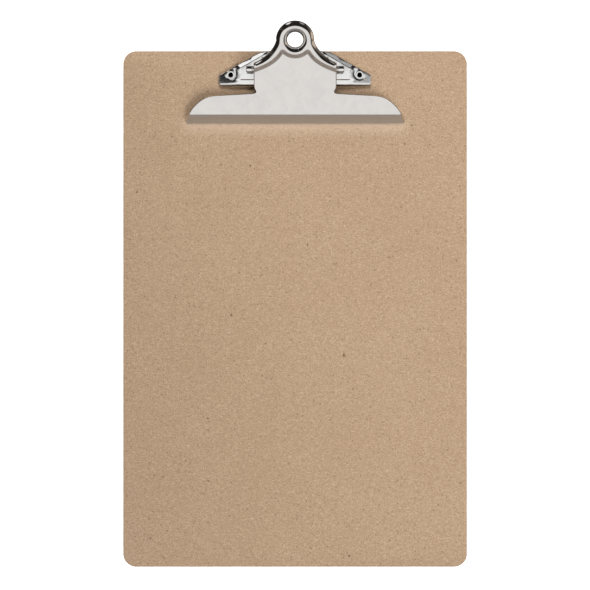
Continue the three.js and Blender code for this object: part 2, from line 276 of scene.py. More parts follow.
def extrude_x(name, profile, low, high):
    """A closed profile of [y, z] pairs, as a plate from x = low to x = high."""
    profile = np.array(profile, float)
    count = len(profile)
    points = [np.column_stack([np.full(count, x), profile]) for x in (low, high)]
    ends = [tuple(reversed(range(count))), tuple(range(count, 2 * count))]
    return make_piece(name, np.concatenate(points), ends + bands(2, count))


def tube(name, path, radius, sides=14):
    """A round wire with rounded ends, along a path."""
    along = unit(np.gradient(path, axis=0))
    across = np.zeros_like(path)
    across[0] = unit(np.cross(along[0], [1.0, 0.0, 0.0]))
    for i in range(1, len(path)):
        across[i] = unit(across[i - 1] - (across[i - 1] @ along[i]) * along[i])
    beside = np.cross(along, across)
    turn = np.arange(sides) * 2 * math.pi / sides

    def ring(i, size, shift=0.0):
        spokes = np.cos(turn)[:, None] * across[i] + np.sin(turn)[:, None] * beside[i]
        return path[i] + shift * along[i] + size * spokes

    easing = 0.3 * radius
    first = [ring(0, 0.0), ring(0, radius - easing), ring(0, radius, easing)]
    last = [ring(-1, radius, -easing), ring(-1, radius - easing), ring(-1, 0.0)]
    rings = first + [ring(i, radius) for i in range(1, len(path) - 1)] + last
    return make_piece(name, np.concatenate(rings), bands(len(rings), sides))


class Rim:
    """The edge of a sheet, as a closed loop of stations with the sheet on its left.

    edge is where the sheet's face and its flange would meet if the bend had no radius, foot is
    the flange's free edge, and bend is how far the bend reaches along the sheet from the edge.
    With a roundness of 1 the bend is part of a circle, and with less it is nearer a chamfer.
    """

    def __init__(self):
        self.edge, self.foot, self.bend, self.roundness = [], [], [], []

    def add(self, edge, foot, bend, roundness=1.0):
        """Adds stations. foot is a list of points, or one depth straight below the face."""
        edge = np.asarray(edge, float)
        if np.ndim(foot) < 2:
            depth = np.broadcast_to(foot, len(edge))
            foot = np.column_stack([edge, depth])
        self.edge.extend(edge)
        self.foot.extend(foot)
        self.bend.extend(np.broadcast_to(bend, len(edge)))
        self.roundness.extend(np.broadcast_to(roundness, len(edge)))

    def mirrored(self):
        """The same stations and their mirror image, from X = 0 round to X = 0."""
        whole = Rim()
        edge, foot = np.array(self.edge), np.array(self.foot)
        bend, roundness = np.array(self.bend), np.array(self.roundness)
        other = np.flatnonzero(edge[:, 0] > 1e-6)[::-1]
        whole.add(edge, foot, bend, roundness)
        whole.add(edge[other] * [-1, 1], foot[other] * [-1, 1, 1], bend[other], roundness[other])
        return whole


def inset(loop, distance, slack=0.04):
    """A closed loop moved to its left. Points that would come nearer to it than the distance, by
    more than the slack, join the nearest point that doesn't."""
    distance = np.broadcast_to(distance, len(loop))
    ahead, behind = np.roll(loop, -1, axis=0), np.roll(loop, 1, axis=0)
    along = unit(unit(ahead - loop) + unit(loop - behind))
    moved = loop + np.column_stack([-along[:, 1], along[:, 0]]) * distance[:, None]
    gap = to_segments(moved, loop, ahead - loop)
    room = (gap - np.minimum(distance, np.roll(distance, -1))).min(1)
    free = np.flatnonzero(room > -slack)
    steps = np.abs(np.arange(len(loop))[:, None] - free)
    steps = np.minimum(steps, len(loop) - steps)
    return moved[free[steps.argmin(1)]]


def bend_rows(start, corner, end, roundness):
    """Rows of points round a bend that touches both legs of a corner."""
    legs = (unit(start - corner) * unit(end - corner)).sum(1)
    weight = (np.sqrt(np.maximum((1 - legs) / 2, 1e-6)) * roundness)[:, None]
    rows = []
    for t in np.linspace(0, 1, BEND_STEPS + 1):
        near, middle, far = (1 - t) ** 2, 2 * t * (1 - t) * weight, t * t
        rows.append((near * start + middle * corner + far * end) / (near + middle + far))
    return rows


def rim_rows(rim, height, level):
    """The rows of a rim's outer face and inner face, each from the guard row to the foot.

    A bend goes as far down the flange as along the sheet, if the flange is deep enough.
    """
    flat = np.array(rim.edge)
    foot = np.array(rim.foot)
    reach, roundness = np.array(rim.bend), np.array(rim.roundness)
    up = np.array([0.0, 0.0, 1.0])

    def lifted(loop, drop=0.0):
        return np.column_stack([loop, height(loop) - drop])

    edge = lifted(flat)
    down = unit(foot - edge)
    inwards = unit(np.column_stack([inset(flat, 0.05) - flat, np.zeros(len(flat))]))
    normal = unit(-inwards + (inwards * down).sum(1)[:, None] * down)
    lean = normal @ up
    deepest_share = 0.8
    fall = np.minimum(reach, deepest_share * np.linalg.norm(foot - edge, axis=1))
    tangent = np.sqrt(np.maximum(1 - lean, 0) / np.maximum(1 + lean, 1e-3))
    tighter = np.maximum(reach - SHEET * tangent, 0)
    guard = inset(flat, np.maximum(reach, SHEET + tighter) + GUARD)

    outer = [lifted(guard)]
    bent = edge + down * fall[:, None]
    outer += bend_rows(lifted(inset(flat, reach)), edge, bent, roundness)
    start = outer[-1]
    outer += [start + (foot - start) * share for share in (0.5, 1.0)]

    setback = SHEET * tangent
    inner_flat = inset(flat, setback)
    inner_edge = lifted(inner_flat, SHEET)
    shrunk = fall * tighter / np.maximum(reach, 1e-6)
    inner = [lifted(guard, SHEET)]
    flat_end = lifted(inset(flat, setback + tighter), SHEET)
    inner += bend_rows(flat_end, inner_edge, inner_edge + down * shrunk[:, None], roundness)
    run = ((foot - inner_edge) @ level) / (down @ level)
    inner_foot = inner_edge + down * np.maximum(run, 0)[:, None]
    start = inner[-1]
    inner += [start + (inner_foot - start) * share for share in (0.5, 1.0)]
    return outer, inner


def pressed_sheet(name, outline, holes, height, fill, level=(0, 0, 1), place=None):
    """A closed piece of bent sheet metal.

    outline and holes are rims, height gives the face's height at points, fill is the points
    inside the face that carry its relief, and level is square to the flanges' free edges.
    """
    level = np.array(level, float)
    doubled, clear = 1e-3, 0.16  # how near two points, and a fill point and a rim, may come
    points, faces, guards = [], [], []

    def put(rows, flip):
        """Adds rows of points, joined by faces, and returns the number of the first point."""
        first = sum(map(len, points))
        count = len(rows[0])
        points.extend(rows)
        for row in range(len(rows) - 1):
            for k in range(count):
                a = first + row * count + k
                b = first + row * count + (k + 1) % count
                quad = (a, a + count, b + count, b)
                faces.append(quad[::-1] if flip else quad)
        return first

    for rim in (outline, *holes):
        outer, inner = rim_rows(rim, height, level)
        count = len(outer[0])
        first_outer = put(outer, False)
        first_inner = put(inner, True)
        last_outer = first_outer + (len(outer) - 1) * count
        last_inner = first_inner + (len(inner) - 1) * count
        for k in range(count):
            beside = (k + 1) % count
            faces.append(
                (last_outer + k, last_inner + k, last_inner + beside, last_outer + beside)
            )
        guards.append((outer[0][:, :2], first_outer, first_inner))

    # The face inside the guard rows, and the same triangles on the underside.
    flat, known, loops = [], [], []
    for loop, first_outer, first_inner in guards:
        numbers = []
        for k, point in enumerate(loop):
            if not numbers or np.linalg.norm(point - flat[numbers[-1]]) > doubled:
                numbers.append(len(flat))
                flat.append(point)
                known.append((first_outer + k, first_inner + k))
        if np.linalg.norm(flat[numbers[0]] - flat[numbers[-1]]) < doubled:
            numbers.pop()
        loops.append(numbers)
    room = to_paths(fill, [np.vstack([loop, loop[:1]]) for loop, _, _ in guards])
    good = inside(fill, guards[0][0]) & (room > clear)
    for loop, _, _ in guards[1:]:
        good &= ~inside(fill, loop)
    fill = fill[good]
    whole = np.array(flat + list(fill))
    borders = [(a, b) for loop in loops[1:] for a, b in zip(loop, loop[1:] + loop[:1])]
    found = delaunay_2d_cdt([Vector(p) for p in whole], borders, [loops[0]], 1, 1e-6)
    where, triangles, origins = np.array([tuple(p) for p in found[0]]), found[2], found[3]
    first = sum(map(len, points))
    z = height(where)
    points.append(np.column_stack([where, z]))
    points.append(np.column_stack([where, z - SHEET]))
    top = [first + i for i in range(len(where))]
    under = [first + len(where) + i for i in range(len(where))]
    for i, source in enumerate(origins):
        rim_points = [s for s in source if s < len(known)]
        if rim_points:
            top[i], under[i] = known[rim_points[0]]
    centres = np.array([where[list(t)].mean(0) for t in triangles])
    solid = np.ones(len(triangles), bool)
    for loop, _, _ in guards[1:]:
        solid &= ~inside(centres, loop)
    for keep, triangle in zip(solid, triangles):
        if keep:
            faces.append(tuple(top[i] for i in triangle))
            faces.append(tuple(under[i] for i in reversed(triangle)))
    points = np.concatenate(points)
    return make_piece(name, place(points) if place else points, faces)


def scatter(rows, spacing):
    """Points from several rows, in order, leaving out any that is too near an earlier one."""
    kept, cells = [], {}
    for point in np.concatenate(rows):
        cell = tuple(np.floor(point / spacing).astype(int))
        near = (
            other
            for dx in (-1, 0, 1)
            for dy in (-1, 0, 1)
            for other in cells.get((cell[0] + dx, cell[1] + dy), ())
        )
        if all(np.hypot(*(point - other)) > spacing for other in near):
            kept.append(point)
            cells.setdefault(cell, []).append(point)
    return np.array(kept)


def grid(low, high, step):
    """A triangular grid of points over a rectangle."""
    rows = []
    for j, y in enumerate(np.arange(low[1], high[1], step * 0.87)):
        x = np.arange(low[0], high[0], step) + (j % 2) * step / 2
        rows.append(np.column_stack([x, np.full(len(x), y)]))
    return np.concatenate(rows)


# ---- Board ----


def board():
    """The hardboard: eased edges, and sawn sides that are a little uneven."""
    eased, ease_middle = 0.4, 0.12
    outline = []
    for corner, signs in enumerate(((1, 1), (-1, 1), (-1, -1), (1, -1))):
        centre = (BOARD_HIGH[:2] - CORNER_RADIUS) * signs
        outline.append(arc(centre, CORNER_RADIUS, 90 * corner, 90 * (corner + 1), 22))
    loop = []
    for part, following in zip(outline, outline[1:] + outline[:1]):
        loop.append(part[:-1])
        loop.append(line(part[-1], following[0], 110))
    loop = np.concatenate(loop)
    profile = [(eased, 0.0), (ease_middle, ease_middle), (0.0, eased)]
    profile += [(0.0, z) for z in np.linspace(eased, FACE - eased, 6)[1:-1]]
    profile += [(0.0, FACE - eased), (ease_middle, FACE - ease_middle), (eased, FACE)]
    rows = []
    for depth, z in profile:
        ring = np.column_stack([inset(loop, max(depth, 0.001)), np.full(len(loop), z)])
        if depth == 0.0:
            rough = [noise.noise(Vector((x * 0.9, y * 0.9, z * 2.5))) for x, y, z in ring]
            ring[:, :2] = inset(loop, 0.05 + 0.045 * np.array(rough))
        rows.append(ring)
    count = len(loop)
    back, front = range(count), range((len(rows) - 1) * count, len(rows) * count)
    faces = [tuple(reversed(back)), *bands(len(rows), count), tuple(front)]
    piece = make_piece("hardboard_panel", np.concatenate(rows), faces)
    drill_for_rivets(piece)
    return piece


def drill_for_rivets(piece):
    low, high = -1, FACE + 6
    profile = [(0, low), (RIVET_HOLE, low), (RIVET_HOLE, high), (0, high)]
    for side in (-1, 1):
        drill = lathe("drill", profile, 32, lambda p: p + [side * RIVET_X, RIVET_Y, 0])
        combine(piece, drill, "DIFFERENCE")


# ---- Jaw ----


def arm(shares):
    """The right arm's edge, from the shoulder to the side of the loop."""
    return bezier(
        (BODY_HALF, SHOULDER),
        (BODY_HALF - 4.7, SHOULDER + 1.7),
        (LOOP_RADIUS, LOOP_Y - 3.4),
        (LOOP_RADIUS, LOOP_Y),
        shares,
    )


def arm_path():
    """The line that the pressed rim follows: the right arm and half loop, run on past the shoulder
    so that the rim is cut off there. Near the shoulder it lies outside the arm's edge, which makes
    the rim narrower."""
    shares = np.linspace(0, 1, 30)
    edge = arm(shares)
    edge[:, 1] += RIDGE_NARROWER * (1 - smooth(shares / 0.7))
    beyond = edge[0] - unit(edge[1] - edge[0]) * 6
    loop = arc((0, LOOP_Y), LOOP_RADIUS, 4, 90, 24)
    return np.vstack([beyond, edge, loop])


ARM_PATHS = [arm_path(), arm_path() * [-1, 1]]


def jaw_height(points):
    """The pressed rim: along the arms and round the loop."""
    from_arms = to_paths(points, ARM_PATHS)
    from_hole = np.hypot(points[:, 0], points[:, 1] - LOOP_Y)
    along_arms = smooth((RIDGE_FLAT + RIDGE_FALL - from_arms) / RIDGE_FALL)
    round_loop = smooth((RING_FLAT + RIDGE_FALL - from_hole) / RIDGE_FALL)
    return RIDGE * (1 - (1 - along_arms) * (1 - round_loop))


def on_board(y):
    """The height, in the plate's frame, just above the board."""
    drop = CREASE_AT[2] - FACE - LIP_GAP
    return (-drop - y * math.sin(SLOPE)) / math.cos(SLOPE)


def ear_depth(y):
    """The lower edge of the jaw's side flange, with a round lobe under the pin."""
    _, pin_y, pin_z = pin_in_plate()
    lobe_front, lobe_rear = pin_y - 2.08, pin_y + 2.67
    lobe = pin_z - np.sqrt(np.maximum(SIDE_LOBE**2 - (y - pin_y) ** 2, 0))
    front = np.interp(y, [BODY_FRONT, lobe_front], [-2.2, pin_z - 1.72])
    rear = np.interp(y, [lobe_rear, SHOULDER - 0.1], [pin_z - 0.42, SIDE_FOOT])
    depth = np.where(y < lobe_front, front, lobe)
    return np.where(y > lobe_rear, rear, depth)


def pin_in_plate():
    """The hinge axis in the plate's frame."""
    _, y, z = PIN_AT - CREASE_AT
    cos, sin = math.cos(SLOPE), math.sin(SLOPE)
    return np.array([0, y * cos + z * sin, -y * sin + z * cos])


def from_plate(points):
    """Points of the jaw's plate in the shared frame."""
    x, y, z = points.T
    cos, sin = math.cos(SLOPE), math.sin(SLOPE)
    return np.column_stack([x, y * cos - z * sin, y * sin + z * cos]) + CREASE_AT


def jaw_rim():
    """The jaw's outline, round its right half from the middle of the lip to the top of the loop."""
    rim = Rim()
    # The front of the lip.
    edge = line((0, 0), (CREASE_HALF, 0), 14)
    foot = line((0, FOOT_Y), (CREASE_HALF + 1.85, FOOT_Y), 14)
    rim.add(edge, np.column_stack([foot, on_board(foot[:, 1])]), LIP_BEND)
    # Its corner.
    edge = arc((45.95, 0.8), 0.8, -90, 22, 9)
    foot = arc((47.75, FOOT_Y + 1.0), 1.0, -90, 22, 9)
    rim.add(edge, np.column_stack([foot, on_board(foot[:, 1])]), LIP_BEND)
    # Its rounded end, where the flange dies away towards the rear.
    shares = np.linspace(0.12, 1, 26)
    edge = bezier((47.1, 0), (45.6, 3.6), (41.5, 8.2), (35.5, 8.7), shares)
    left = ((1 - shares) ** 2)[:, None]
    foot = edge + [0.08, 0.08] + left * [1.62, -3.1]
    depth = left[:, 0] * on_board(foot[:, 1]) - (1 - left[:, 0]) * SHEET
    rim.add(edge, np.column_stack([foot, depth]), 0.2 + 0.5 * smooth(3 * left[:, 0]))
    # Its rear edge, and the relief beside the body.
    rim.add(line((35.0, 8.73), (19.2, 9.6), 12), -SHEET, EDGE_BEND)
    relief = [(19.2, 9.6), (18.2, 9.7), (17.5, 9.95), (17.15, 10.4), (17.2, 11.0), (17.75, 12.0)]
    rim.add(relief, -SHEET, EDGE_BEND)
    # The body's side, which carries the pin.
    edge = line((BODY_HALF, BODY_FRONT), (BODY_HALF, SHOULDER - 0.4), 24)
    rim.add(edge, ear_depth(edge[:, 1]), SIDE_BEND)
    # The shoulder, the arm and the loop.
    shoulder = [(BODY_HALF, SHOULDER - 0.25), (BODY_HALF - 0.22, SHOULDER + 0.06)]
    rim.add(shoulder, SIDE_FOOT, 0.9)
    shares = np.linspace(0.05, 0.97, 36)
    bend = ARM_BEND + (LOOP_BEND - ARM_BEND) * smooth(2 * shares)
    rim.add(arm(shares), -ARM_FLANGE, bend, ROLL)
    rim.add(arc((0, LOOP_Y), LOOP_RADIUS, 0, 90, 32), -ARM_FLANGE, LOOP_BEND, ROLL)
    return rim.mirrored()


def hole_rim():
    rim = Rim()
    edge = arc((0, LOOP_Y), HOLE_RADIUS, 360, 0, 73)[:-1]
    upper = smooth((edge[:, 1] - LOOP_Y) / HOLE_RADIUS)
    rim.add(edge, -COLLAR, HOLE_BEND + HOLE_BEND_MORE * upper, ROLL)
    return rim


def jaw_fill():
    """Rows of points that follow the pressed rim, and a coarse grid elsewhere."""
    rows = []
    row_gap, point_gap = 0.19, 0.42
    for depth in np.arange(2.3, 5.6, row_gap):
        edge = ARM_PATHS[0]
        along = unit(np.gradient(edge, axis=0))
        row = edge + np.column_stack([-along[:, 1], along[:, 0]]) * depth
        length = np.cumsum(np.r_[0, np.hypot(*np.diff(row, axis=0).T)])
        even = np.arange(0, length[-1], point_gap)
        row = np.column_stack([np.interp(even, length, row[:, i]) for i in (0, 1)])
        near = np.abs(to_paths(row, ARM_PATHS) - depth) < 0.03
        row = row[near & (row[:, 0] > 0.05)]
        rows += [row, row * [-1, 1]]
    for radius in np.arange(5.5, 8.7, row_gap):
        count = int(2 * math.pi * radius / point_gap)
        rows.append(arc((0, LOOP_Y), radius, 0, 360, count)[:-1])
    rows.append(grid((-18, 12), (18, 32), 1.3))
    rows.append(grid((-47, -1), (47, 13), 2.2))
    return scatter(rows, 0.15)


def jaw():
    """The whole pressed jaw: lip, body, arms, loop and the side flanges on the pin."""
    up_from_board = (0, math.sin(SLOPE), math.cos(SLOPE))
    piece = pressed_sheet(
        "clip_jaw_pressing",
        jaw_rim(),
        [hole_rim()],
        jaw_height,
        jaw_fill(),
        level=up_from_board,
        place=from_plate,
    )
    drill_for_pin(piece, BODY_HALF - 2, BODY_HALF + 1)
    return piece


def along_pin(points):
    """Turns a lathe's Z into X, on the hinge axis."""
    return points[:, [2, 0, 1]] + [0, PIN_AT[1], PIN_AT[2]]


def drill_for_pin(piece, low, high):
    """Drills from x = low to x = high, and the same on the left."""
    for start, end in ((low, high), (-high, -low)):
        profile = [(0, start), (PIN_HOLE, start), (PIN_HOLE, end), (0, end)]
        combine(piece, lathe("drill", profile, 40, along_pin), "DIFFERENCE")


# ---- Base plate ----

REAR_CORNERS = [(18.5, TOP - 2.3), (15.5, TOP - 0.85), (11.5, BASE_REAR)]
REAR_PATH = np.array([(BASE_HALF, TOP - 10.9), *REAR_CORNERS, (0, BASE_REAR)])
REAR_PATHS = [REAR_PATH, REAR_PATH * [-1, 1]]
# The strips run along each wing's rear, and a little past its inner corner.
STRIP_PATHS = [np.array([path[0], 1.3 * path[1] - 0.3 * path[0]]) for path in REAR_PATHS]


def base_height(points):
    """The face's height: strips that slope down along the rear, a step down along the front,
    slightly crowned wings, and a lowered pad with a level seat round each rivet."""
    x, y = points.T
    strip = STRIP_DROP * np.clip(1 - to_paths(points, STRIP_PATHS) / STRIP_WIDTH, 0, 1)
    step = STEP_DROP * smooth((STEP_START - (y - BASE_FRONT)) / STEP_WIDTH)
    crown = CROWN * (y - BASE_FRONT - 6) ** 2 * smooth((np.abs(x) - 18.5) / 3)
    upper = BASE_TOP - strip - step - crown
    out, along = np.abs(x) - RIVET_X, y - RIVET_Y
    lean = np.where(x < 0, LEFT_LEAN, RIGHT_LEAN)
    pad = PAD_TOP - lean * (0.6 * out + 0.8 * along)
    # The pad is open towards the wing's end, and runs further to the front than to the rear.
    to_pad = np.hypot(np.minimum(out, 0), np.where(along > 0, 0.9, 0.45) * along)
    top = pad + (upper - pad) * np.clip((to_pad - PAD_RADIUS) / PAD_WALL, 0, 1)
    seat = smooth((SEAT_RADIUS + SEAT_FALL - np.hypot(out, along)) / SEAT_FALL)
    return FACE + top + (PAD_TOP - top) * seat


def splayed(edge, share, low):
    """The feet of a flange that leans out to the front by a share of the full splay."""
    x, y = edge.T
    return np.column_stack([x, y - FRONT_SPLAY * share, np.full(len(edge), low)])


def base_rim():
    """The base plate's outline, round its right half from front to rear."""
    rim = Rim()
    on_face, lifted = FACE + 0.02, FACE + 1.3
    # The front, lifted off the board between the pads.
    edge = line((0, BASE_FRONT), (24.8, BASE_FRONT), 16)
    rim.add(edge, splayed(edge, 1, lifted), FRONT_BEND)
    edge = line((24.8, BASE_FRONT), (32.8, TOP - 15.35), 12)
    rim.add(edge, splayed(edge, 1, on_face), np.linspace(FRONT_BEND, END_BEND, 12))
    # The wing's end, between its two rounded corners.
    edge = arc((BASE_HALF - 0.9, TOP - 14.45), 0.9, -90, 0, 7)
    rim.add(edge, splayed(edge, np.linspace(1, 0, 7), on_face), END_BEND)
    rim.add(line((BASE_HALF, TOP - 14.2), (BASE_HALF, TOP - 11.3), 7), on_face, 0.45)
    rim.add(arc((BASE_HALF - 0.6, TOP - 11.25), 0.6, 0, 58, 5), on_face, REAR_BEND)
    # The rear, which slopes to the middle.
    rear = [(33.0, TOP - 10.5), *REAR_CORNERS, (-0.9, BASE_REAR)]
    for start, end, count in zip(rear, rear[1:], (40, 8, 8, 10)):
        rim.add(line(start, end, count), on_face, REAR_BEND)
    return rim.mirrored()


def base_fill():
    """Rows of points that follow the strips, a fine grid on the wings, and a coarse one between."""
    rows = []
    for depth in (0.9, 1.2, 1.5, 1.66, 1.75, 1.84, 2.0, 2.3):
        right = []
        for a, b in zip(REAR_PATH[:-1], REAR_PATH[1:]):
            along = unit(b - a)
            row = line(a, b, int(np.hypot(*(b - a)) / 0.4) + 1)
            row = row + np.array([-along[1], along[0]]) * depth
            right.append(row[np.abs(to_paths(row, REAR_PATHS) - depth) < 0.01])
        rows += right + [row * [-1, 1] for row in right]
    for low in (-34.0, 17.0):
        rows.append(grid((low, BASE_FRONT), (low + 17.0, TOP), 0.26))
    rows.append(grid((-17, BASE_FRONT + 1.8), (17, BASE_FRONT + 3.2), 0.35))
    rows.append(grid((-17, BASE_FRONT), (17, TOP), 1.2))
    return scatter(rows, 0.15)


def base_ear(low, high):
    """One of the upright ears that hold the pin."""
    y, z = PIN_AT[1:]
    foot = FACE + BASE_TOP - SHEET / 2
    lobe = arc((y, z), EAR_RADIUS, 0, 180, 25)
    profile = [(y - EAR_FOOT, foot), (y + EAR_FOOT, foot), *lobe]
    return extrude_x("ear", profile, low, high)


def base_plate():
    """The pressed base plate, with its ears bent up out of two windows."""
    piece = pressed_sheet("base_plate_pressing", base_rim(), [], base_height, base_fill())
    drill_for_rivets(piece)
    y = PIN_AT[1]
    window = [(y - EAR_FOOT, FACE - 1), (y + EAR_FOOT, FACE - 1)]
    window += [(y + EAR_FOOT, FACE + 5), (y - EAR_FOOT, FACE + 5)]
    for side in (-1, 1):
        ends = sorted((side * (EAR_X - WINDOW), side * EAR_X))
        combine(piece, extrude_x("window", window, *ends), "DIFFERENCE")
        ends = sorted((side * EAR_X, side * (EAR_X + SHEET)))
        combine(piece, base_ear(*ends), "UNION")
    drill_for_pin(piece, EAR_X - 1, EAR_X + 2)
    return piece


# ---- Pin, springs and rivets ----


def hinge_pin():
    """The pin, with its ends peened over, and a dimple in each."""
    ease = 0.5
    end = arc((PIN_HEAD - ease, PIN_END - ease), ease, 0, 90, 6)
    half = [(PIN_RADIUS, 0), (PIN_RADIUS, PIN_HEAD_START), (PIN_HEAD - 0.1, PIN_HEAD_START)]
    half += [(PIN_HEAD, PIN_HEAD_START + 0.15), *end]
    half += [(0.5, PIN_END - 0.02), (0.35, PIN_END - 0.12), (0, PIN_END - 0.15)]
    whole = [(r, -x) for r, x in reversed(half[1:])] + half
    return lathe("hinge_pin_peened", whole, 40, along_pin)


def spring_path(side):
    """The wire's centre line, from the leg on the base plate to the leg under the jaw."""
    coil = WOUND * COIL_RADIUS
    s = np.concatenate(
        [
            np.linspace(-LOWER_LEG, 0, 8)[:-1],
            np.linspace(0, coil, 110),
            np.linspace(coil, coil + UPPER_LEG, 8)[1:],
        ]
    )
    on_coil = np.clip(s, 0, coil)
    turn = on_coil / COIL_RADIUS
    angle = LOWER_ANGLE - turn
    x = side * (COIL_OUTER - WIRE / 2 - turn / (2 * math.pi) * PITCH)
    y = COIL_RADIUS * np.cos(angle) + (s - on_coil) * np.sin(angle)
    z = COIL_RADIUS * np.sin(angle) - (s - on_coil) * np.cos(angle)
    return np.column_stack([x, PIN_AT[1] + y, PIN_AT[2] + z])


def spring(name, side):
    return tube(name, spring_path(side), WIRE / 2)


def rivet(name, side):
    """A semi-tubular rivet: a domed head under the board, and a rolled ring on the pad."""
    seat = FACE + PAD_TOP + 0.02
    head, dome_middle, dome_edge = -RIVET_LOW[2], 0.28, -0.25
    ring_middle, ring_half = 1.42, 0.42
    dome = [
        (RIVET_HEAD * math.sin(a), min(dome_middle - (head + dome_middle) * math.cos(a), dome_edge))
        for a in np.radians(np.linspace(0, 78, 14))
    ]
    rolled = [
        (ring_middle + ring_half * math.cos(a), seat + 0.12 + 0.3 * math.sin(a) ** 0.45)
        for a in np.radians(np.linspace(0, 180, 15))
    ]
    profile = dome + [(RIVET_HEAD, dome_edge), (RIVET_HEAD, -0.08), (RIVET_HEAD - 0.06, -0.02)]
    profile += [(1.6, -0.02), (1.6, seat), (ring_middle + ring_half - 0.05, seat)]
    profile += rolled + [(1.0, seat - 0.3), (0.98, seat - 1.6), (0.6, seat - 2.6), (0, seat - 3.3)]
    return lathe(name, profile, 44, lambda p: p + [side * RIVET_X, RIVET_Y, 0])


# ---- Materials ----


class Nodes:
    """A short way to write a node tree."""

    def __init__(self, tree):
        self.tree = tree
        tree.nodes.clear()

    def add(self, kind, inputs=None, **settings):
        node = self.tree.nodes.new(kind)
        for key, value in settings.items():
            setattr(node, key, value)
        for key, value in (inputs or {}).items():
            if isinstance(value, bpy.types.NodeSocket):
                self.tree.links.new(value, node.inputs[key])
            else:
                node.inputs[key].default_value = value
        return node

    def math(self, operation, a, b=0.0, clamp=False):
        node = self.add("ShaderNodeMath", {0: a, 1: b}, operation=operation, use_clamp=clamp)
        return node.outputs[0]

    def product(self, first, *others):
        for other in others:
            first = self.math("MULTIPLY", first, other)
        return first

    def vector(self, operation, a, b=(0.0, 0.0, 0.0)):
        """Vector maths. The result is in "Vector", or in "Value" if it's a number."""
        return self.add("ShaderNodeVectorMath", {0: a, 1: b}, operation=operation).outputs

    def axes(self, vector):
        """X, Y and Z of a vector."""
        return self.add("ShaderNodeSeparateXYZ", {0: vector}).outputs[:3]

    def ramp(self, value, low, high, to_low=0.0, to_high=1.0):
        """Maps low to high onto another range, with a smooth start and end."""
        inputs = {"Value": value, 1: low, 2: high, 3: to_low, 4: to_high}
        node = self.add("ShaderNodeMapRange", inputs, interpolation_type="SMOOTHSTEP")
        return node.outputs[0]

    def noise(self, place, scale, detail=2.0, roughness=0.5, distortion=0.0):
        inputs = {"Vector": place, "Scale": scale, "Detail": detail}
        inputs |= {"Roughness": roughness, "Distortion": distortion}
        return self.add("ShaderNodeTexNoise", inputs).outputs["Fac"]

    def stretch(self, place, scale, turn=0.0):
        """Coordinates turned about Z and scaled along each axis."""
        inputs = {"Vector": place, "Rotation": (0, 0, turn), "Scale": scale}
        return self.add("ShaderNodeMapping", inputs).outputs[0]

    def mix(self, factor, a, b, blend="MIX"):
        """A mix of two colours, each a socket or three numbers."""
        inputs = {"Factor": factor}
        for key, colour in ((6, a), (7, b)):
            inputs[key] = colour if isinstance(colour, bpy.types.NodeSocket) else (*colour, 1)
        node = self.add("ShaderNodeMix", inputs, data_type="RGBA", blend_type=blend)
        return node.outputs[2]

    def layers(self, tone, *layers):
        """A colour with others laid over it in turn. Each layer is an amount and a colour."""
        for amount, colour in layers:
            tone = self.mix(amount, tone, colour)
        return tone

    def grey(self, value):
        return self.add("ShaderNodeCombineColor", {0: value, 1: value, 2: value}).outputs[0]

    def millimetres(self):
        """Object coordinates in millimetres."""
        place = self.add("ShaderNodeTexCoord").outputs["Object"]
        return self.vector("MULTIPLY", place, (1 / MM, 1 / MM, 1 / MM))["Vector"]

    def bump(self, height, strength, distance):
        inputs = {"Height": height, "Strength": strength, "Distance": distance}
        return self.add("ShaderNodeBump", inputs).outputs[0]


def material(name):
    made = bpy.data.materials.new(name)
    made.use_nodes = True
    return made, Nodes(made.node_tree)


def surface(nodes, inputs):
    shader = nodes.add("ShaderNodeBsdfPrincipled", inputs)
    nodes.add("ShaderNodeOutputMaterial", {"Surface": shader.outputs[0]})


def knots(nodes, place):
    """Two dark scraps of bark pressed into the board, one larger than the other."""
    found = 0.0
    for x, y, radius in ((21.6, -20.4, 0.62), (-28.3, -2.7, 0.42)):
        offset = nodes.vector("SUBTRACT", place, (x, y, FACE))["Vector"]
        length = nodes.vector("LENGTH", nodes.stretch(offset, (1.0, 0.65, 1.0)))["Value"]
        ragged = nodes.math("ADD", length, nodes.noise(place, 2.0, 2.0, 0.6))
        near = nodes.ramp(ragged, radius + 0.3, radius + 0.65, 1.0, 0.0)
        found = nodes.math("MAXIMUM", near, found)
    return found


def painted_light_before_lip(nodes, place):
    """How much painted light lies on the board's face: a brighter pool just in front of the lip,
    standing in for light thrown down by the lip's bright front.
    """
    across, along_board, height = nodes.axes(place)
    lip_front = CREASE_AT[1] - 3.4
    return nodes.product(
        nodes.ramp(nodes.math("ABSOLUTE", across), 52.0, 46.0, 0.0, 0.34),
        nodes.ramp(height, FACE - 0.4, FACE - 0.1),
        nodes.ramp(along_board, lip_front - 7, lip_front),
        nodes.ramp(along_board, lip_front + 3, lip_front + 1),
    )


